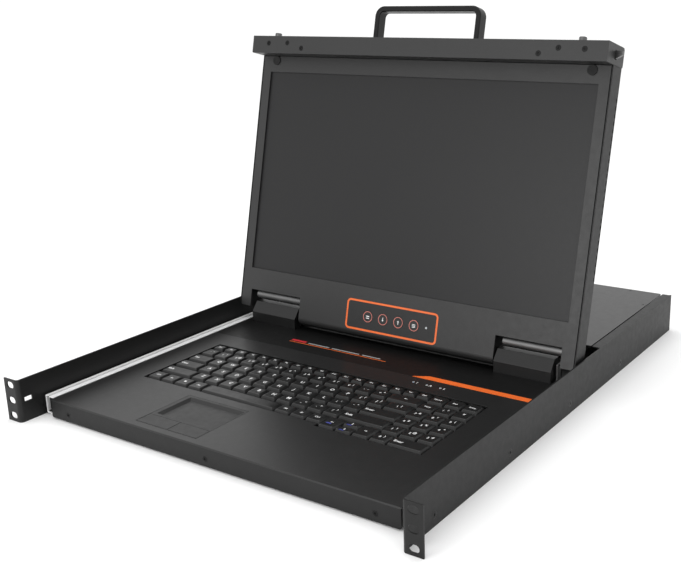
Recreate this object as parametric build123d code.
from build123d import *
import os

# Rack-mount console drawer, millimetres. X to the right, Y to the back, Z up.
# Everything is drawn standing on z = 0 with the front of the rack ears at y = 0.
# Files are written with the origin moved up to the middle of the rack-ear holes.

# --- rack and case ---------------------------------------------------------------------------
UNIT_HEIGHT = 44.0
EAR_TO_EAR = 482.6
CASE_WIDTH = 447.0
CASE_DEPTH = 580.0
SHEET = 1.5
EAR_BEND = 4.0
RACK_HOLE_SPACING_X = 465.1
RACK_HOLE_SPACING_Z = 15.85
RACK_SLOT_LENGTH = 10.0
RACK_SLOT_WIDTH = 7.0
FLANGE_START = 368.0
FLANGE_INNER_X = 213.3
FLANGE_END = 578.5
FLOOR_THICKNESS = 1.0
FLOOR_START = 300.0
FLOOR_UPTURN = 7.0
FLOOR_SETBACK = 1.0
RAIL_SCREW_Y = (43.4, 169.1, 294.0, 422.4)
RAIL_SCREW_Z = 10.3
LATCH_SLOT = (6.7, 15.3, 20.3, 24.9)

WALL_OUT = CASE_WIDTH / 2
WALL_IN = WALL_OUT - SHEET

# --- telescopic slides -----------------------------------------------------------------------
SLIDE_OUT = 218.9
SLIDE_START = 28.0
SLIDE_END = 560.0
SLIDE_BOTTOM = 1.9
SLIDE_TOP = 20.8
SLIDE_SHEET = 1.0
OUTER_TIP = 214.3
WEB_OUT = 213.9
INNER_TIP = 212.4
SPACER_BOTTOM = 7.5
SPACER_TOP = 19.5
RUN_GAP = 0.3
SLIDE_STAGGER = 1.0
SLIDE_EDGE = 0.8

# --- drawer ----------------------------------------------------------------------------------
PAN_HALF = 205.8
PAN_SHEET = 1.2
PAN_FRONT = 23.8
PAN_BACK = 577.2
PAN_BOTTOM = 1.45
PAN_BEND = 2.0
PANEL_BOTTOM = 19.05
PANEL_TOP = 20.25
PANEL_EDGE = 0.8
SEAM_Y = 254.6
SEAM_GAP = 0.4
MODULE_FRONT = 369.0
LIP_TOP = 42.8
LIP_THICKNESS = 1.2
LIP_HALF = 211.0
COVER_HALF = 211.8
COVER_BACK = 578.5
COVER_CORNER = 3.0
TRAY_SCREW_X = (-181.5, 0.0, 181.5)
TRAY_SCREW_Z = 8.6
COVER_SCREWS = ((-207.8, 528.0), (207.8, 528.0), (-174.0, 574.4), (174.0, 574.4))
STATUS_LAMP_X = (76.0, 91.8, 107.6)
STATUS_LAMP_Y = 242.0
STATUS_LAMP_R = 1.2
STRIPE_START = 66.0
STRIPE_WIDTH = 8.2
STRIPE_TAPER = 16.0
FILM = 0.2

# --- keyboard --------------------------------------------------------------------------------
KEY_UNIT = 18.9
KEY_ROW = 19.2
KEY_LEFT = -170.95
KEY_BACK = 224.5
FUNCTION_ROW = 13.9
MAIN_UNITS = 15
PAD_COLUMNS = 3
PAD_ROWS = 6
KEY_BASE_Z = 17.4
KEY_TOP_Z = 21.2
KEY_GAP = 0.35
KEY_SIDE_SLOPE = 2.3
KEY_BACK_SLOPE = 3.2
KEY_FRONT_SLOPE = 2.2
FUNCTION_KEYS = 18
RECESS_MARGIN = 1.3
PLATE_BOTTOM = 13.6
PLATE_TOP = 15.0
PLATE_RIM = 1.6
ARROW_UNIT = 12

# --- touchpad --------------------------------------------------------------------------------
TOUCHPAD = (-95.0, -17.8, 32.1, 101.3)
TOUCH_BOTTOM = 16.6
TOUCH_FLANGE = 2.5
TOUCH_RECESS = (-90.2, -19.6, 54.0, 98.2)
TOUCH_SLOPE = 3.3
TOUCH_FRONT_SLOPE = 0.6
TOUCH_FLOOR = 17.85
TOUCH_SPLIT_X = -54.8
TOUCH_BUTTON_BACK = 50.4
FIT_GAP = 0.3

# --- lid hinge -------------------------------------------------------------------------------
HINGE_Y = 321.0
HINGE_Z = 31.6
LID_LEAN = 13.5
PIN_R = 3.0
PIN_CLEARANCE = 0.06
PIN_END = 1.0
BOSS_R = 6.0
BOSS_START = 118.4
NOTCH_IN = 128.4
NOTCH_OUT = 203.1
NOTCH_TOP = 23.6
STRIP_BOTTOM = 2.9
BAR_R = 4.6
HINGE_BAR_LENGTH = 67.0
HINGE_BAR_Y = -3.3
HINGE_BAR_Z = 18.8
HINGE_COVER_IN = 131.2
HINGE_COVER_OUT = 195.6
HINGE_COVER_REACH = (-13.5, 13.0)
HINGE_COVER_RIDGE = (-4.5, 5.0)
HINGE_COVER_BACK_RISE = 2.0
HINGE_COVER_CREASE = 32.3
HINGE_COVER_TOP = 43.3
HINGE_COVER_WALL = 1.5
BRACKET_PLATE = 3.0
BRACKET_EYE_R = 7.0
BRACKET_FOOT = (50.0, 10.0, 2.0)
TAB_X = 197.2
TAB_SHEET = 1.5
TAB_HALF = 4.0
TAB_RISE = 6.0
TAB_FOOT = 4.0

# --- lid (drawn upright about its pivot: y = 0, z = 0 is the hinge line) -----------------------
LID_FRONT = -9.9
LID_BACK = 11.3
LID_HALF = 219.2
LID_SHEET = 1.2
LID_TOP = 300.35
LID_BOTTOM = -8.6
LID_ROUND = 8.6
LID_CORNER = 5.0
BEZEL_BACK = -7.9
BEZEL_HALF = 217.3
BEZEL_SLOT_HALF = 218.1
BEZEL_TOP_GAP = 0.4
SCREEN_HALF = 206.2
SCREEN_BOTTOM = 49.3
SCREEN_TOP = 281.9
LCD_MARGIN = 2.4
LCD_DEPTH = 8.7
VENT_COUNT = 25
VENT_FIRST = 91.3
VENT_PITCH = 7.32
VENT_LENGTH = 4.0
VENT_Y = (8.0, 9.9)
BUMPER_X = 198.3
BUMPER_Z = 295.0
BUMPER_R = 5.2
BUMPER_HEIGHT = 1.2

# --- OSD panel -------------------------------------------------------------------------------
OSD_CENTRE_X = -1.1
OSD_WIDTH = 120.2
OSD_BOTTOM = 0.2
OSD_TOP = 34.4
OSD_CORNER = 5.0
OSD_LINE = 2.2
OSD_DEPTH = 0.8
OSD_BUTTON_PITCH = 20.27
OSD_BUTTON_Z = 16.9
OSD_BUTTON_R = 6.3
OSD_BUTTON_PROUD = 0.2
OSD_BUTTON_BACK = -6.5
OSD_LENS_X = 45.0
OSD_LENS_R = 1.3
OSD_BUTTONS = 4
OSD_BUTTON_GAP = 0.2
OSD_FIT = 0.05

# --- front bar, handle and latches --------------------------------------------------------------
BAR_HALF = 220.0
BAR_FRONT = -29.8
BAR_TOP = 319.95
BAR_SHEET = 1.2
BAR_BACK_ROUND = 3.0
BAR_CORNER = 1.5
BAR_SCREWS = ((148.0, 306.6), (168.8, 312.3), (196.2, 311.7))
BAR_SCREW_LENGTH = 3.6
BAR_CUT_DEPTH = 3.0
HANDLE_HALF = 66.5
HANDLE_RISE = 38.0
HANDLE_STRIP = 6.0
HANDLE_DEPTH = 14.0
HANDLE_EDGE = 1.6
HANDLE_Y = -1.0
HANDLE_CORNER = 11.0
HANDLE_SCREW_REACH = 8.0
HANDLE_HEAD = 2.0
BOLT_Y = (-10.95, -7.05)
BOLT_Z = (306.2, 313.8)
BOLT_TIP = 227.0
BOLT_BEVEL = (6.4, 3.6)
LATCH_TRAVEL = 7.5
KNOB_X = 189.6
KNOB_Y = -21.6
KNOB_R = 3.9
KNOB_HEIGHT = 4.2
STEM_R = 2.4
KNOB_EDGE = 1.2
CARRIER_HALF = 4.0
CARRIER_INSET = 1.0
LATCH_HOLE = (-11.6, -6.4, 305.6, 314.4)
LATCH_HOLE_DEPTH = 4.0

# --- rear module -----------------------------------------------------------------------------
REAR_SHEET = 1.2
REAR_FACE = 572.2
SOCKET_Z = 21.0
INLET_X = -165.0
INLET_SIZE = (27.0, 20.0)
INLET_CAVITY = (23.0, 15.5)
INLET_CAVITY_DEPTH = 15.0
INLET_PLATE = (-186.0, -112.0, 8.0, 34.0)
INLET_PLATE_THICKNESS = 1.8
INLET_DEPTH = 22.0
INLET_PIN = (2.0, 4.0)
PIN_OFFSETS = ((-7.0, -2.0), (0.0, 2.0), (7.0, -2.0))
PIN_SETBACK = 5.0
SWITCH_X = -128.0
SWITCH_SIZE = (19.0, 13.0)
SWITCH_WALL = 1.2
SWITCH_DEPTH = 16.0
SWITCH_WELL = 10.0
ROCKER_HALF = 6.8
ROCKER_TILT = 7.0
ROCKER_SETBACK = 3.0
ROCKER_TIP = 3.1
ROCKER_VALLEY = 2.2
ROCKER_TAPER = 0.8
PORT_COUNT = 8
PORT_PITCH = 33.0
PORT_FIRST_X = -72.0
PORT_SHELL = (16.9, 8.3)
PORT_FLANGE = (30.8, 12.5)
PORT_OUT = 5.8
PORT_BODY_DEPTH = 10.0
PORT_BODY_MARGIN = 1.0
PORT_SHEET = 1.0
PORT_TAPER = 1.6
PORT_CORNER = 1.8
BOARD = (-100.0, 190.0, 400.0, 556.0)
BOARD_Z = 8.0
BOARD_THICKNESS = 1.6
BOARD_POST_INSET = 8.0
BOARD_POST_R = 3.0
CHIPS = ((-40.0, 470.0, 24.0), (30.0, 500.0, 20.0), (90.0, 450.0, 28.0), (150.0, 510.0, 16.0))
CHIP_HEIGHT = 2.4
SUPPLY = (-196.0, -112.0, 392.0, 530.0, 38.0)
SUPPLY_CORNER = 2.0

M3_HEAD_R = 2.9
M3_SHANK_R = 1.5
M4_HEAD_R = 3.4
M4_SHANK_R = 1.9
M3_LENGTH = 5.0
M3_HOLE_DEPTH = 3.0
HEAD_DEPTH = 1.1
CROSS_LENGTH = 2.6
CROSS_WIDTH = 0.7
CROSS_DEPTH = 0.6
HOLE_GAP = 0.12
CUT = 1.0
SAME_PLACE = 0.01

LID_PLACE = Location((0, HINGE_Y, HINGE_Z), (-LID_LEAN, 0, 0))
DATUM = Location((0, 0, -UNIT_HEIGHT / 2))
SIDES = (-1, 1)


# --- small builders ----------------------------------------------------------------------------
def block(x0, x1, y0, y1, z0, z1):
    """A box between two corners, given in any order."""
    size = (abs(x1 - x0), abs(y1 - y0), abs(z1 - z0))
    return Pos((x0 + x1) / 2, (y0 + y1) / 2, (z0 + z1) / 2) * Box(*size)


def prism_x(points, x0, x1):
    """A prism along X with an outline in (y, z)."""
    face = make_face(Polyline(*points, close=True))
    return extrude(Plane.YZ.offset(min(x0, x1)) * face, amount=abs(x1 - x0))


def prism_y(points, y0, y1):
    """A prism along Y with an outline in (x, z)."""
    face = make_face(Polyline(*points, close=True))
    return extrude(Plane.XZ.offset(-y1) * face, amount=y1 - y0)


def prism_z(points, z0, z1):
    """A prism along Z with an outline in (x, y)."""
    face = make_face(Polyline(*points, close=True))
    return extrude(Plane.XY.offset(z0) * face, amount=z1 - z0)


def rod_x(radius, x0, x1, y, z):
    """A round bar along X."""
    return Pos((x0 + x1) / 2, y, z) * Rot(0, 90, 0) * Cylinder(radius, abs(x1 - x0))


def rod_y(radius, y0, y1, x, z):
    """A round bar along Y."""
    return Pos(x, (y0 + y1) / 2, z) * Rot(90, 0, 0) * Cylinder(radius, abs(y1 - y0))


def rod_z(radius, z0, z1, x, y):
    """A round bar along Z."""
    return Pos(x, y, (z0 + z1) / 2) * Cylinder(radius, abs(z1 - z0))


def mirrored(part):
    """The same part on the other side of the centre plane."""
    return mirror(part, about=Plane.YZ)


def screw(head_r, shank_r, length, gap=0.0):
    """A countersunk screw, head face up at z = 0, or the hole for it when a gap is given."""
    head = Pos(0, 0, -HEAD_DEPTH / 2) * Cone(shank_r + gap, head_r + gap, HEAD_DEPTH)
    shank = Pos(0, 0, -length / 2) * Cylinder(shank_r + gap, length)
    body = head + shank
    if gap:
        return body
    cross = Box(CROSS_LENGTH, CROSS_WIDTH, CROSS_DEPTH) + Box(CROSS_WIDTH, CROSS_LENGTH, CROSS_DEPTH)
    return body - Pos(0, 0, -CROSS_DEPTH / 2) * cross


def m3_screw(length=M3_LENGTH):
    """The common M3 screw."""
    return screw(M3_HEAD_R, M3_SHANK_R, length)


def m3_hole():
    """Countersunk hole for the common M3 screw."""
    return screw(M3_HEAD_R, M3_SHANK_R, M3_HOLE_DEPTH, HOLE_GAP)


def save(name, *parts):
    """Writes one node; several parts in one node stay separate solids."""
    solids = [DATUM * solid for part in parts for solid in part.solids()]
    shape = solids[0] if len(solids) == 1 else Compound(children=solids)
    export_step(shape, os.path.join("parts", name + ".step"))


def save_lid(name, *parts):
    """Writes one node of the lid, leaned back about the hinge line."""
    save(name, *[LID_PLACE * part for part in parts])


# --- case --------------------------------------------------------------------------------------
def facing_out(x, y, z):
    """Turns a part drawn upwards so that it looks out of the right-hand wall."""
    return Pos(x, y, z) * Rot(0, 90, 0)


def right_rail():
    """Side wall, rack ear and rear top flange bent from one sheet."""
    ear_tip = EAR_TO_EAR / 2
    outline = [
        (WALL_IN, 0), (ear_tip, 0), (ear_tip, SHEET), (WALL_OUT, SHEET),
        (WALL_OUT, CASE_DEPTH), (WALL_IN, CASE_DEPTH),
    ]
    face = make_face(Polyline(*outline, close=True))
    outer_bend = face.vertices().filter_by(lambda v: abs(v.X - WALL_IN) < SAME_PLACE and v.Y < SHEET)
    face = fillet(outer_bend, EAR_BEND)
    inner_bend = face.vertices().filter_by(lambda v: abs(v.X - WALL_OUT) < SAME_PLACE and v.Y < EAR_BEND)
    face = fillet(inner_bend, EAR_BEND - SHEET)
    rail = extrude(face, amount=UNIT_HEIGHT)
    rail += block(FLANGE_INNER_X, WALL_OUT, FLANGE_START, FLANGE_END, UNIT_HEIGHT - SHEET, UNIT_HEIGHT)
    middle = UNIT_HEIGHT / 2
    for row in (-1, 0, 1):
        slot = SlotOverall(RACK_SLOT_LENGTH, RACK_SLOT_WIDTH)
        place = Pos(RACK_HOLE_SPACING_X / 2, -CUT, middle + row * RACK_HOLE_SPACING_Z) * Rot(-90, 0, 0)
        rail -= extrude(place * slot, amount=SHEET + 2 * CUT)
    y0, y1, z0, z1 = LATCH_SLOT
    rail -= block(WALL_IN - CUT, WALL_OUT + CUT, y0, y1, z0, z1)
    for y in RAIL_SCREW_Y:
        rail -= facing_out(WALL_OUT, y, RAIL_SCREW_Z) * screw(M4_HEAD_R, M4_SHANK_R, 2 * SHEET, HOLE_GAP)
    return rail


def chassis_floor():
    """Plate under the rear module that ties the two rails together."""
    back = CASE_DEPTH - FLOOR_SETBACK
    floor = block(-WALL_IN, WALL_IN, FLOOR_START, back, 0, FLOOR_THICKNESS)
    for side in SIDES:
        floor += block(side * WALL_IN, side * (WALL_IN - FLOOR_THICKNESS), FLOOR_START, back, 0, FLOOR_UPTURN)
    return floor


def slide_spacer():
    """Strip that stands the slide off the right-hand wall."""
    spacer = block(SLIDE_OUT, WALL_IN, SLIDE_START, SLIDE_END, SPACER_BOTTOM, SPACER_TOP)
    for y in RAIL_SCREW_Y:
        spacer -= rod_x(M4_SHANK_R + HOLE_GAP, SLIDE_OUT - CUT, WALL_IN + CUT, y, RAIL_SCREW_Z)
    return spacer


def rail_screw_set():
    """Screws that hold both slides to the walls."""
    length = WALL_OUT - SLIDE_OUT + SLIDE_SHEET + RUN_GAP
    right = [facing_out(WALL_OUT, y, RAIL_SCREW_Z) * screw(M4_HEAD_R, M4_SHANK_R, length)
             for y in RAIL_SCREW_Y]
    return right + [mirrored(part) for part in right]


# --- slides ------------------------------------------------------------------------------------
def outer_member():
    """Fixed channel of the right slide, open towards the drawer."""
    channel = block(SLIDE_OUT, OUTER_TIP, SLIDE_START, SLIDE_END, SLIDE_BOTTOM, SLIDE_TOP)
    channel -= block(SLIDE_OUT - SLIDE_SHEET, OUTER_TIP - CUT, SLIDE_START - CUT, SLIDE_END + CUT,
                     SLIDE_BOTTOM + SLIDE_SHEET, SLIDE_TOP - SLIDE_SHEET)
    edges = channel.edges().filter_by(Axis.Y).group_by(Axis.X)[-1]
    channel = fillet(edges, SLIDE_EDGE)
    for y in RAIL_SCREW_Y:
        channel -= rod_x(M4_SHANK_R + HOLE_GAP, OUTER_TIP, SLIDE_OUT + CUT, y, RAIL_SCREW_Z)
    return channel


def middle_member():
    """Travelling beam of the right slide: a web with flanges inside both channels."""
    start = SLIDE_START + SLIDE_STAGGER
    web_in = WEB_OUT - SLIDE_SHEET
    top = SLIDE_TOP - SLIDE_SHEET - RUN_GAP
    bottom = SLIDE_BOTTOM + SLIDE_SHEET + RUN_GAP
    beam = block(web_in, WEB_OUT, start, SLIDE_END, bottom, top)
    flange_out = SLIDE_OUT - SLIDE_SHEET - 2 * RUN_GAP
    flange_in = PAN_HALF + SLIDE_SHEET + 2 * RUN_GAP
    for low, high in ((bottom, bottom + SLIDE_SHEET), (top - SLIDE_SHEET, top)):
        beam += block(flange_in, flange_out, start, SLIDE_END, low, high)
    return beam


def inner_member():
    """Channel of the right slide that is fixed to the drawer, open towards the wall."""
    start = SLIDE_START - SLIDE_STAGGER
    channel = block(PAN_HALF, INNER_TIP, start, SLIDE_END, SLIDE_BOTTOM, SLIDE_TOP)
    channel -= block(PAN_HALF + SLIDE_SHEET, INNER_TIP + CUT, start - CUT, SLIDE_END + CUT,
                     SLIDE_BOTTOM + SLIDE_SHEET, SLIDE_TOP - SLIDE_SHEET)
    return channel


# --- drawer ------------------------------------------------------------------------------------
def drawer_pan():
    """Folded tray: floor, low sides in front, high sides with lips around the rear module."""
    shell = block(-PAN_HALF, PAN_HALF, PAN_FRONT, PAN_BACK, PAN_BOTTOM, PANEL_BOTTOM)
    shell = fillet(shell.edges().filter_by(Axis.Y).group_by(Axis.Z)[0], PAN_BEND)
    inner_half = PAN_HALF - PAN_SHEET
    shell -= block(-inner_half, inner_half, PAN_FRONT + PAN_SHEET, PAN_BACK + CUT,
                   PAN_BOTTOM + PAN_SHEET, PANEL_BOTTOM + CUT)
    for side in SIDES:
        shell += block(side * inner_half, side * PAN_HALF, MODULE_FRONT, PAN_BACK, PANEL_BOTTOM, LIP_TOP)
        shell += block(side * inner_half, side * LIP_HALF, MODULE_FRONT, PAN_BACK,
                       LIP_TOP - LIP_THICKNESS, LIP_TOP)
    shell += block(-inner_half, inner_half, MODULE_FRONT, MODULE_FRONT + PAN_SHEET, PAN_BOTTOM, LIP_TOP)
    for x in TRAY_SCREW_X:
        shell -= facing_front(x, PAN_FRONT, TRAY_SCREW_Z) * m3_hole()
    for x, y in COVER_SCREWS:
        shell -= rod_z(M3_SHANK_R + HOLE_GAP, LIP_TOP - 2 * LIP_THICKNESS, LIP_TOP + CUT, x, y)
    return shell


def facing_front(x, y, z):
    """Turns a part drawn upwards so that it looks out of the front."""
    return Pos(x, y, z) * Rot(90, 0, 0)


def keyboard_outline(margin):
    """L-shaped outline round the key field, widened by a margin."""
    right = KEY_LEFT + (MAIN_UNITS + PAD_COLUMNS) * KEY_UNIT + margin
    left = KEY_LEFT - margin
    step = KEY_LEFT + ARROW_UNIT * KEY_UNIT - margin
    back = KEY_BACK + margin
    main_front = KEY_BACK - FUNCTION_ROW - 5 * KEY_ROW - margin
    pad_front = KEY_BACK - PAD_ROWS * KEY_ROW - margin
    return [(left, back), (left, main_front), (step, main_front), (step, pad_front),
            (right, pad_front), (right, back)]


def top_panel():
    """Palm rest and keyboard surround."""
    panel = block(-PAN_HALF, PAN_HALF, PAN_FRONT, SEAM_Y - SEAM_GAP / 2, PANEL_BOTTOM, PANEL_TOP)
    low = PANEL_BOTTOM - CUT
    high = PANEL_TOP + CUT
    panel -= prism_z(keyboard_outline(RECESS_MARGIN), low, high)
    x0, x1, y0, y1 = TOUCHPAD
    panel -= block(x0 - FIT_GAP, x1 + FIT_GAP, y0 - FIT_GAP, y1 + FIT_GAP, low, high)
    for x in STATUS_LAMP_X:
        panel -= rod_z(STATUS_LAMP_R + HOLE_GAP, low, high, x, STATUS_LAMP_Y)
    front_edge = panel.edges().filter_by(Axis.X).group_by(Axis.Z)[-1].group_by(Axis.Y)[0]
    return fillet(front_edge, PANEL_EDGE)


def rear_deck():
    """Panel between the keyboard surround and the rear module."""
    return block(-PAN_HALF, PAN_HALF, SEAM_Y + SEAM_GAP / 2, MODULE_FRONT - SEAM_GAP, PANEL_BOTTOM, PANEL_TOP)


def accent_stripe():
    """Thin orange strip along the right half of the deck's front edge, with a slanted start."""
    front = SEAM_Y + SEAM_GAP / 2
    points = [(STRIPE_START, front), (PAN_HALF, front), (PAN_HALF, front + STRIPE_WIDTH),
              (STRIPE_START + STRIPE_TAPER, front + STRIPE_WIDTH)]
    return prism_z(points, PANEL_TOP, PANEL_TOP + FILM)


def status_lenses():
    """Three lamp lenses behind the keyboard."""
    return [rod_z(STATUS_LAMP_R, PANEL_BOTTOM, PANEL_TOP + FILM, x, STATUS_LAMP_Y) for x in STATUS_LAMP_X]


def keyboard_base():
    """Plate under the keys, with a rim that hangs it from the panel."""
    well = prism_z(keyboard_outline(RECESS_MARGIN + PLATE_RIM), PLATE_BOTTOM, PANEL_BOTTOM)
    return well - prism_z(keyboard_outline(RECESS_MARGIN), PLATE_TOP, PANEL_BOTTOM + CUT)


def key_cap(x0, x1, y0, y1):
    """One key cap: a block that narrows towards its top."""
    low = Rectangle(x1 - x0 - 2 * KEY_GAP, y1 - y0 - 2 * KEY_GAP)
    width = x1 - x0 - 2 * (KEY_GAP + KEY_SIDE_SLOPE)
    depth = y1 - y0 - 2 * KEY_GAP - KEY_BACK_SLOPE - KEY_FRONT_SLOPE
    shift = (KEY_FRONT_SLOPE - KEY_BACK_SLOPE) / 2
    centre = ((x0 + x1) / 2, (y0 + y1) / 2)
    base = Pos(centre[0], centre[1], KEY_BASE_Z) * low
    top = Pos(centre[0], centre[1] + shift, KEY_TOP_Z) * Rectangle(width, depth)
    return loft([base, top])


def key_span(start, width, back, depth):
    """Corners of a key, from its start and width in key units and its back edge and depth."""
    x0 = KEY_LEFT + start * KEY_UNIT
    return (x0, x0 + width * KEY_UNIT, back - depth, back)


def key_row(first, widths, back, depth=KEY_ROW):
    """A run of keys beside each other."""
    keys = []
    start = first
    for width in widths:
        keys.append(key_cap(*key_span(start, width, back, depth)))
        start += width
    return keys


def keyboard():
    """All keys, by node name."""
    row = [KEY_BACK - FUNCTION_ROW - i * KEY_ROW for i in range(6)]
    arrow_front = KEY_BACK - PAD_ROWS * KEY_ROW
    half = (row[4] - arrow_front) / 2
    small = MAIN_UNITS / FUNCTION_KEYS
    keys = {
        "keys_function_row": key_row(0, [small] * FUNCTION_KEYS, KEY_BACK, FUNCTION_ROW),
        "keys_number_row": key_row(0, [1] * 13, row[0]),
        "key_backspace": key_row(13, [2], row[0]),
        "keys_upper_letters": key_row(0, [1.5] + [1] * 12 + [1.5], row[1]),
        "keys_home_letters": key_row(0, [1.75] + [1] * 11, row[2]),
        "key_enter": key_row(12.75, [2.25], row[2]),
        "keys_lower_letters": key_row(0, [2.25] + [1] * 10, row[3]),
        "key_right_shift": key_row(12.25, [2.75], row[3]),
        "keys_modifiers": key_row(0, [1] * 4, row[4]) + key_row(9, [1] * 3, row[4]),
        "key_space": key_row(4, [5], row[4]),
        "key_arrow_left": key_row(12, [1], row[4], 2 * half),
        "key_arrow_up": key_row(13, [1], row[4], half),
        "key_arrow_down": key_row(13, [1], row[4] - half, half),
        "key_arrow_right": key_row(14, [1], row[4], 2 * half),
    }
    pad = []
    for i in range(PAD_ROWS - 1):
        pad += key_row(MAIN_UNITS, [1] * PAD_COLUMNS, KEY_BACK - i * KEY_ROW)
    pad += key_row(MAIN_UNITS, [1, 2], KEY_BACK - (PAD_ROWS - 1) * KEY_ROW)
    keys["keys_number_pad"] = pad
    return keys


def outline_at(corners, z):
    """A flat rectangle between two corners at one height."""
    x0, x1, y0, y1 = corners
    return Pos((x0 + x1) / 2, (y0 + y1) / 2, z) * Rectangle(x1 - x0, y1 - y0)


def touchpad():
    """Touchpad frame with its sunken touch surface."""
    x0, x1, y0, y1 = TOUCHPAD
    rim = TOUCH_FLANGE
    frame = block(x0, x1, y0, y1, TOUCH_BOTTOM, PANEL_TOP)
    frame += block(x0 - rim, x1 + rim, y0 - rim, y1 + rim, TOUCH_BOTTOM, PANEL_BOTTOM)
    frame -= block(x0 + 2 * FIT_GAP, x1 - 2 * FIT_GAP, y0 + 2 * FIT_GAP, TOUCH_BUTTON_BACK,
                   TOUCH_BOTTOM - CUT, PANEL_TOP + CUT)
    left, right, front, back = TOUCH_RECESS
    floor = (left + TOUCH_SLOPE, right - TOUCH_SLOPE, front + TOUCH_FRONT_SLOPE, back - TOUCH_SLOPE)
    recess = loft([outline_at(floor, TOUCH_FLOOR), outline_at(TOUCH_RECESS, PANEL_TOP)])
    return frame - recess


def touch_button(x0, x1):
    """One of the two buttons in front of the touch surface."""
    front = TOUCHPAD[2] + 3 * FIT_GAP
    return block(x0, x1, front, TOUCH_BUTTON_BACK - FIT_GAP, TOUCH_BOTTOM, PANEL_TOP)


def hinge_cover():
    """Hollow cover over the right hinge, with a sloping face and a slot for the pin."""
    def outline(inset, low):
        front, back = [HINGE_Y + reach for reach in HINGE_COVER_REACH]
        ridge_front, ridge_back = [HINGE_Y + reach for reach in HINGE_COVER_RIDGE]
        top = HINGE_COVER_TOP - inset
        return [(front + inset, low), (front + inset, HINGE_COVER_CREASE),
                (ridge_front + inset / 2, top), (ridge_back - inset / 2, top),
                (back - inset, HINGE_COVER_CREASE + HINGE_COVER_BACK_RISE), (back - inset, low)]
    cover = prism_x(outline(0, PANEL_TOP), HINGE_COVER_IN, HINGE_COVER_OUT)
    creases = cover.edges().filter_by(Axis.X).filter_by(lambda e: e.center().Z > PANEL_TOP + CUT)
    cover = fillet(creases, PANEL_EDGE)
    wall = HINGE_COVER_WALL
    cover -= prism_x(outline(wall, PANEL_TOP - CUT), HINGE_COVER_IN + wall, HINGE_COVER_OUT - wall)
    slot_r = PIN_R + FIT_GAP
    outside = HINGE_COVER_IN - CUT
    inside = HINGE_COVER_IN + 2 * wall
    cover -= rod_x(slot_r, outside, inside, HINGE_Y, HINGE_Z)
    cover -= block(outside, inside, HINGE_Y - slot_r, HINGE_Y + slot_r, PANEL_TOP - CUT, HINGE_Z)
    return cover


def hinge_bracket():
    """Steel bracket of the right hinge with its pivot pin."""
    plate_in = HINGE_COVER_IN + 2 * HINGE_COVER_WALL
    plate_out = plate_in + BRACKET_PLATE
    length, half, thickness = BRACKET_FOOT
    eye_r = BRACKET_EYE_R
    foot = block(plate_in, plate_in + length, HINGE_Y - half, HINGE_Y + half, PANEL_TOP,
                 PANEL_TOP + thickness)
    plate = block(plate_in, plate_out, HINGE_Y - eye_r, HINGE_Y + eye_r, PANEL_TOP, HINGE_Z)
    eye = rod_x(eye_r, plate_in, plate_out, HINGE_Y, HINGE_Z)
    pin = rod_x(PIN_R, BOSS_START - PIN_END, plate_out, HINGE_Y, HINGE_Z)
    return foot + plate + eye + pin


def hinge_tab():
    """Small upright tab beside the right hinge cover."""
    tab_out = TAB_X + TAB_SHEET
    front = HINGE_Y - TAB_HALF
    back = HINGE_Y + TAB_HALF
    upright = block(TAB_X, tab_out, front, back, PANEL_TOP, HINGE_Z + TAB_RISE)
    return upright + block(TAB_X, tab_out + TAB_FOOT, front, back, PANEL_TOP, PANEL_TOP + TAB_SHEET)


def drawer_screw_set():
    """Tray front screws and module cover screws."""
    front = [facing_front(x, PAN_FRONT, TRAY_SCREW_Z) * m3_screw() for x in TRAY_SCREW_X]
    top = [Pos(x, y, UNIT_HEIGHT) * m3_screw() for x, y in COVER_SCREWS]
    return front + top


# --- rear module -------------------------------------------------------------------------------
def module_cover():
    """Flat cover of the rear module."""
    cover = block(-COVER_HALF, COVER_HALF, MODULE_FRONT, COVER_BACK, LIP_TOP, UNIT_HEIGHT)
    cover = fillet(cover.edges().filter_by(Axis.Z).group_by(Axis.Y)[-1], COVER_CORNER)
    for x, y in COVER_SCREWS:
        cover -= Pos(x, y, UNIT_HEIGHT) * m3_hole()
    return cover


def port_x(index):
    """Centre of one server port."""
    return PORT_FIRST_X + index * PORT_PITCH


def socket_block(x, size, y0, y1):
    """A block of the given width and height, centred on the socket line."""
    width, height = size
    return block(x - width / 2, x + width / 2, y0, y1, SOCKET_Z - height / 2, SOCKET_Z + height / 2)


def grown(size, gap):
    """A width and height with a gap added on every side."""
    return tuple(side + 2 * gap for side in size)


def rear_panel():
    """Rear wall of the module with its cut-outs and top lip."""
    half = PAN_HALF - PAN_SHEET
    front = REAR_FACE - REAR_SHEET
    panel = block(-half, half, front, REAR_FACE, PAN_BOTTOM + PAN_SHEET, LIP_TOP)
    panel += block(-half, half, front, PAN_BACK, LIP_TOP - LIP_THICKNESS, LIP_TOP)
    panel -= socket_block(INLET_X, grown(INLET_SIZE, FIT_GAP), front - CUT, REAR_FACE + CUT)
    panel -= socket_block(SWITCH_X, grown(SWITCH_SIZE, FIT_GAP), front - CUT, REAR_FACE + CUT)
    for i in range(PORT_COUNT):
        panel -= socket_block(port_x(i), grown(PORT_SHELL, FIT_GAP), front - CUT, REAR_FACE + CUT)
    for x, y in COVER_SCREWS[2:]:
        panel -= rod_z(M3_SHANK_R + HOLE_GAP, LIP_TOP - M3_HOLE_DEPTH, LIP_TOP + CUT, x, y)
    return panel


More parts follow.
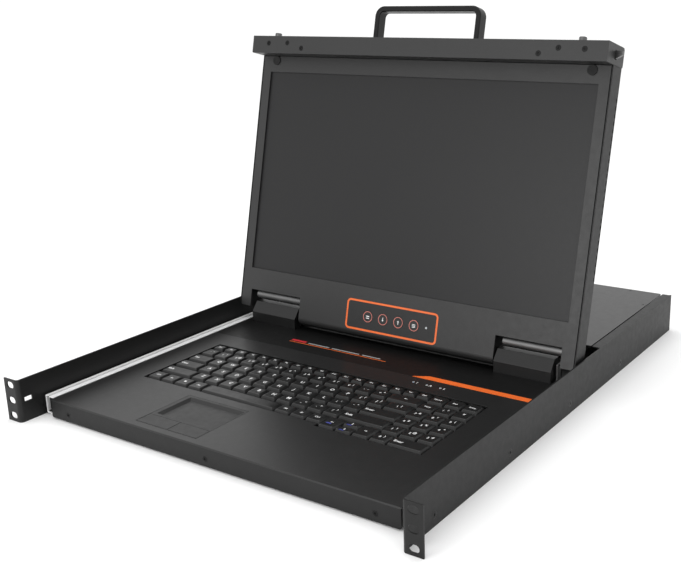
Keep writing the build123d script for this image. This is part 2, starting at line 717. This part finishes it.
def power_inlet():
    """Mains inlet with three pins and the frame for the rocker beside it."""
    x0, x1, z0, z1 = INLET_PLATE
    mouth = REAR_FACE + INLET_PLATE_THICKNESS
    body = block(x0, x1, REAR_FACE, mouth, z0, z1)
    body += socket_block(INLET_X, INLET_SIZE, REAR_FACE - INLET_DEPTH, REAR_FACE + CUT)
    bottom = mouth - INLET_CAVITY_DEPTH
    body -= socket_block(INLET_X, INLET_CAVITY, bottom, mouth + CUT)
    for dx, dz in PIN_OFFSETS:
        body += Pos(dx, 0, dz) * socket_block(INLET_X, INLET_PIN, bottom - CUT, mouth - PIN_SETBACK)
    body += socket_block(SWITCH_X, SWITCH_SIZE, REAR_FACE - SWITCH_DEPTH, REAR_FACE + CUT)
    body -= socket_block(SWITCH_X, grown(SWITCH_SIZE, -SWITCH_WALL), REAR_FACE - SWITCH_WELL, mouth + CUT)
    return body


def power_rocker():
    """Rocker of the power switch, resting on its left-hand side."""
    half = ROCKER_HALF
    foot = half - ROCKER_TAPER
    points = [(-half, ROCKER_TIP), (0, ROCKER_VALLEY), (half, ROCKER_TIP), (foot, -ROCKER_VALLEY),
              (-foot, -ROCKER_VALLEY)]
    half_height = SWITCH_SIZE[1] / 2 - SWITCH_WALL - FIT_GAP
    rocker = Rot(0, 0, -ROCKER_TILT) * prism_z(points, -half_height, half_height)
    return Pos(SWITCH_X, REAR_FACE + INLET_PLATE_THICKNESS - ROCKER_SETBACK, SOCKET_Z) * rocker


def server_ports():
    """D-shaped port shells with their flanges behind the rear panel."""
    half_w, half_h = [side / 2 for side in PORT_SHELL]
    narrow = half_w - PORT_TAPER
    front = REAR_FACE - REAR_SHEET
    flange = front - PORT_SHEET
    outline = [(narrow, -half_h), (half_w, half_h), (-half_w, half_h), (-narrow, -half_h)]
    shell = prism_y(outline, front, REAR_FACE + PORT_OUT)
    shell = fillet(shell.edges().filter_by(Axis.Y), PORT_CORNER)
    ports = []
    for i in range(PORT_COUNT):
        x = port_x(i)
        port = Pos(x, 0, SOCKET_Z) * shell
        port += socket_block(x, PORT_FLANGE, flange, front)
        port += socket_block(x, grown(PORT_SHELL, PORT_BODY_MARGIN), front - PORT_BODY_DEPTH, flange)
        ports.append(port)
    return ports


def main_board():
    """Circuit board on four standoffs, with its larger chips."""
    x0, x1, y0, y1 = BOARD
    top = BOARD_Z + BOARD_THICKNESS
    board = block(x0, x1, y0, y1, BOARD_Z, top)
    for x, y, size in CHIPS:
        board += block(x - size / 2, x + size / 2, y - size / 2, y + size / 2, top, top + CHIP_HEIGHT)
    inset = BOARD_POST_INSET
    for x in (x0 + inset, x1 - inset):
        for y in (y0 + inset, y1 - inset):
            board += rod_z(BOARD_POST_R, PAN_BOTTOM + PAN_SHEET, BOARD_Z, x, y)
    return board


def power_supply():
    """Power supply unit in its own tin."""
    x0, x1, y0, y1, top = SUPPLY
    tin = block(x0, x1, y0, y1, PAN_BOTTOM + PAN_SHEET, top)
    return fillet(tin.edges().filter_by(Axis.Z), SUPPLY_CORNER)


# --- lid ---------------------------------------------------------------------------------------
def lid_outline(inset):
    """Front view of the lid with its two hinge notches, drawn smaller by an inset."""
    half = [
        (NOTCH_IN - inset, LID_BOTTOM + inset), (NOTCH_IN - inset, NOTCH_TOP + inset),
        (NOTCH_OUT + inset, NOTCH_TOP + inset), (NOTCH_OUT + inset, STRIP_BOTTOM + inset),
        (LID_HALF - inset, STRIP_BOTTOM + inset), (LID_HALF - inset, LID_TOP - inset),
    ]
    return half + [(-x, z) for x, z in reversed(half)]


def lid_volume(inset):
    """Solid lid with a rounded bottom edge, smaller by an inset on every side."""
    body = prism_y(lid_outline(inset), LID_FRONT + inset, LID_BACK - inset)
    corners = body.edges().filter_by(Axis.Y).filter_by(
        lambda e: abs(abs(e.center().X) - (LID_HALF - inset)) < SAME_PLACE and e.center().Z < NOTCH_TOP)
    body = fillet(corners, LID_CORNER - inset)
    slab = block(-LID_HALF, LID_HALF, LID_FRONT + inset, LID_BACK - inset, LID_BOTTOM + inset, LID_TOP)
    slab = fillet(slab.edges().filter_by(Axis.X).group_by(Axis.Z)[0], LID_ROUND - inset)
    return body & slab


def lid_shell():
    """Back, sides and rounded bottom of the lid, with hinge bosses and side vents."""
    shell = lid_volume(0) - lid_volume(LID_SHEET)
    shell -= block(-BEZEL_SLOT_HALF, BEZEL_SLOT_HALF, LID_FRONT - CUT, BEZEL_BACK,
                   LID_BOTTOM - CUT, LID_TOP + CUT)
    for side in SIDES:
        shell += rod_x(BOSS_R, side * BOSS_START, side * (NOTCH_IN - LID_SHEET / 2), 0, 0)
        shell -= rod_x(PIN_R + PIN_CLEARANCE, side * (BOSS_START - CUT), side * (NOTCH_IN + CUT), 0, 0)
    vents = [block(-LID_HALF - CUT, LID_HALF + CUT, *VENT_Y, VENT_FIRST + i * VENT_PITCH,
                   VENT_FIRST + i * VENT_PITCH + VENT_LENGTH) for i in range(VENT_COUNT)]
    return shell - vents


def osd_shape(inset, y0, y1):
    """Rounded rectangle of the OSD panel, smaller by an inset."""
    width = OSD_WIDTH - 2 * inset
    height = OSD_TOP - OSD_BOTTOM - 2 * inset
    face = RectangleRounded(width, height, OSD_CORNER - inset)
    place = Pos(OSD_CENTRE_X, y1, (OSD_TOP + OSD_BOTTOM) / 2) * Rot(90, 0, 0)
    return extrude(place * face, amount=y1 - y0)


def osd_button_x(index):
    """Centre of one OSD button."""
    return OSD_CENTRE_X + (index - (OSD_BUTTONS - 1) / 2) * OSD_BUTTON_PITCH


def osd_button_holes():
    """Cutters for the four buttons."""
    return [rod_y(OSD_BUTTON_R + OSD_BUTTON_GAP, LID_FRONT - CUT, BEZEL_BACK + CUT, osd_button_x(i),
                  OSD_BUTTON_Z) for i in range(OSD_BUTTONS)]


def lid_bezel():
    """Front plate around the screen."""
    front = block(-BEZEL_HALF, BEZEL_HALF, LID_FRONT, BEZEL_BACK, LID_BOTTOM, LID_TOP - BEZEL_TOP_GAP)
    bezel = lid_volume(0) & front
    bezel -= block(-SCREEN_HALF, SCREEN_HALF, LID_FRONT - CUT, BEZEL_BACK + CUT, SCREEN_BOTTOM, SCREEN_TOP)
    bezel -= osd_shape(0, LID_FRONT - CUT, LID_FRONT + OSD_DEPTH)
    return bezel - osd_button_holes()


def lcd_panel():
    """Screen panel behind the bezel opening."""
    front = BEZEL_BACK
    half = SCREEN_HALF + LCD_MARGIN
    return block(-half, half, front, front + LCD_DEPTH, SCREEN_BOTTOM - LCD_MARGIN, SCREEN_TOP + LCD_MARGIN)


def osd_frame():
    """Orange outline around the OSD panel."""
    back = LID_FRONT + OSD_DEPTH
    return osd_shape(OSD_FIT, LID_FRONT, back) - osd_shape(OSD_LINE, LID_FRONT - CUT, back + CUT)


def osd_panel():
    """Black overlay inside the orange outline."""
    back = LID_FRONT + OSD_DEPTH
    panel = osd_shape(OSD_LINE + OSD_FIT, LID_FRONT, back) - osd_button_holes()
    return panel - rod_y(OSD_LENS_R + HOLE_GAP, LID_FRONT - CUT, back + CUT, OSD_LENS_X, OSD_BUTTON_Z)


def osd_lens():
    """Power lamp lens beside the buttons."""
    return rod_y(OSD_LENS_R, LID_FRONT, LID_FRONT + OSD_DEPTH, OSD_LENS_X, OSD_BUTTON_Z)


def osd_button(index):
    """One round button of the OSD panel."""
    return rod_y(OSD_BUTTON_R, LID_FRONT - OSD_BUTTON_PROUD, OSD_BUTTON_BACK, osd_button_x(index),
                 OSD_BUTTON_Z)


def front_bar():
    """Hollow bar along the free edge of the lid; it closes the front of the rack unit."""
    bar = block(-BAR_HALF, BAR_HALF, BAR_FRONT, LID_BACK, LID_TOP, BAR_TOP)
    bar = fillet(bar.edges().filter_by(Axis.X).group_by(Axis.Z)[-1].sort_by(Axis.Y)[-1], BAR_BACK_ROUND)
    bar = fillet(bar.edges().filter_by(Axis.Y).group_by(Axis.Z)[0], BAR_CORNER)
    bar -= block(-BAR_HALF + BAR_SHEET, BAR_HALF - BAR_SHEET, BAR_FRONT + BAR_SHEET, LID_BACK - BAR_SHEET,
                 LID_TOP + BAR_SHEET, BAR_TOP - BAR_SHEET)
    y0, y1, z0, z1 = LATCH_HOLE
    slot = STEM_R + FIT_GAP
    low = BAR_TOP - BAR_CUT_DEPTH
    high = BAR_TOP + CUT
    for side in SIDES:
        bar -= block(side * (BAR_HALF - LATCH_HOLE_DEPTH), side * (BAR_HALF + CUT), y0, y1, z0, z1)
        bar -= block(side * (KNOB_X - LATCH_TRAVEL - slot), side * (KNOB_X + slot), KNOB_Y - slot,
                     KNOB_Y + slot, low, high)
        for x, z in BAR_SCREWS:
            bar -= facing_front(side * x, BAR_FRONT, z) * m3_hole()
        bar -= rod_z(M3_SHANK_R + HOLE_GAP, low, high, side * (HANDLE_HALF - HANDLE_STRIP / 2), HANDLE_Y)
    return bar


def handle():
    """Strip bent into a bow above the bar."""
    leg = HANDLE_HALF - HANDLE_STRIP / 2
    top = BAR_TOP + HANDLE_RISE - HANDLE_STRIP / 2
    corners = [(x, HANDLE_Y, z) for x, z in ((-leg, BAR_TOP), (-leg, top), (leg, top), (leg, BAR_TOP))]
    path = FilletPolyline(*corners, radius=HANDLE_CORNER - HANDLE_STRIP / 2)
    section = Pos(*corners[0]) * RectangleRounded(HANDLE_STRIP, HANDLE_DEPTH, HANDLE_EDGE)
    grip = sweep(section, path=path)
    for side in SIDES:
        grip -= rod_z(M3_SHANK_R + HOLE_GAP, BAR_TOP - CUT, BAR_TOP + HANDLE_SCREW_REACH + CUT, side * leg,
                      HANDLE_Y)
    return grip


def bar_screw_set():
    """Screws in the bar's face and the two that hold the handle from inside the bar."""
    screws = []
    for side in SIDES:
        for x, z in BAR_SCREWS:
            screws.append(facing_front(side * x, BAR_FRONT, z) * m3_screw(BAR_SCREW_LENGTH))
        leg = side * (HANDLE_HALF - HANDLE_STRIP / 2)
        inside = BAR_TOP - BAR_SHEET
        fixing = rod_z(M3_SHANK_R, inside, BAR_TOP + HANDLE_SCREW_REACH, leg, HANDLE_Y)
        screws.append(fixing + rod_z(M3_HEAD_R, inside - HANDLE_HEAD, inside, leg, HANDLE_Y))
    return screws


def right_latch():
    """Latch bolt, its carrier and the knob that draws it inwards."""
    y0, y1 = BOLT_Y
    z0, z1 = BOLT_Z
    root = KNOB_X - CARRIER_HALF
    bevel_x, bevel_z = BOLT_BEVEL
    outline = [(root, z0), (BOLT_TIP - bevel_x, z0), (BOLT_TIP, z0 + bevel_z), (BOLT_TIP, z1), (root, z1)]
    latch = prism_y(outline, y0, y1)
    latch += block(root, KNOB_X + CARRIER_HALF, KNOB_Y - STEM_R, y1, z0 + CARRIER_INSET, z1 - CARRIER_INSET)
    knob_base = BAR_TOP + FIT_GAP
    latch += rod_z(STEM_R, z1 - 2 * CARRIER_INSET, knob_base + CUT, KNOB_X, KNOB_Y)
    knob = rod_z(KNOB_R, knob_base, knob_base + KNOB_HEIGHT, KNOB_X, KNOB_Y)
    return latch + fillet(knob.edges().group_by(Axis.Z)[-1], KNOB_EDGE)


def bumpers():
    """Two rubber pads that meet the tray when the lid is shut."""
    return [rod_y(BUMPER_R, LID_FRONT - BUMPER_HEIGHT, LID_FRONT, side * BUMPER_X, BUMPER_Z)
            for side in SIDES]


def hinge_bars():
    """Grey bars across the hinge notches, both standing against the right side of their notch."""
    return [rod_x(BAR_R, end - HINGE_BAR_LENGTH, end, HINGE_BAR_Y, HINGE_BAR_Z)
            for end in (NOTCH_OUT, -NOTCH_IN)]


# --- writing -----------------------------------------------------------------------------------
def save_case():
    rail = right_rail()
    save("right_side_rail", rail)
    save("left_side_rail", mirrored(rail))
    save("chassis_floor", chassis_floor())
    for name, builder in (("slide_spacers", slide_spacer), ("slide_outer_members", outer_member)):
        part = builder()
        save(name, part, mirrored(part))
    save("rail_screws", *rail_screw_set())
    beam = middle_member()
    save("slide_middle_right", beam)
    save("slide_middle_left", mirrored(beam))


def save_drawer():
    for name, builders in (
        ("slide_inner_members", [inner_member]),
        ("hinge_covers", [hinge_cover]),
        ("hinge_brackets", [hinge_bracket, hinge_tab]),
    ):
        parts = [builder() for builder in builders]
        save(name, *parts, *[mirrored(part) for part in parts])
    for builder in (drawer_pan, top_panel, rear_deck, accent_stripe, keyboard_base, touchpad, module_cover,
                    rear_panel, power_inlet, power_rocker, main_board, power_supply):
        save(builder.__name__, builder())
    save("server_ports", *server_ports())
    save("status_lenses", *status_lenses())
    save("drawer_screws", *drawer_screw_set())
    for name, keys in keyboard().items():
        save(name, *keys)
    edge = 3 * FIT_GAP
    save("touchpad_button_left", touch_button(TOUCHPAD[0] + edge, TOUCH_SPLIT_X - FIT_GAP))
    save("touchpad_button_right", touch_button(TOUCH_SPLIT_X + FIT_GAP, TOUCHPAD[1] - edge))


def save_screen():
    for builder in (lid_shell, lid_bezel, lcd_panel, osd_frame, osd_panel, osd_lens, front_bar, handle):
        save_lid(builder.__name__, builder())
    for i in range(OSD_BUTTONS):
        save_lid("osd_button_%d" % (i + 1), osd_button(i))
    save_lid("bar_screws", *bar_screw_set())
    save_lid("lid_bumpers", *bumpers())
    save_lid("hinge_bars", *hinge_bars())
    latch = right_latch()
    save_lid("latch_right", latch)
    save_lid("latch_left", mirrored(latch))


os.makedirs("parts", exist_ok=True)
save_case()
save_drawer()
save_screen()
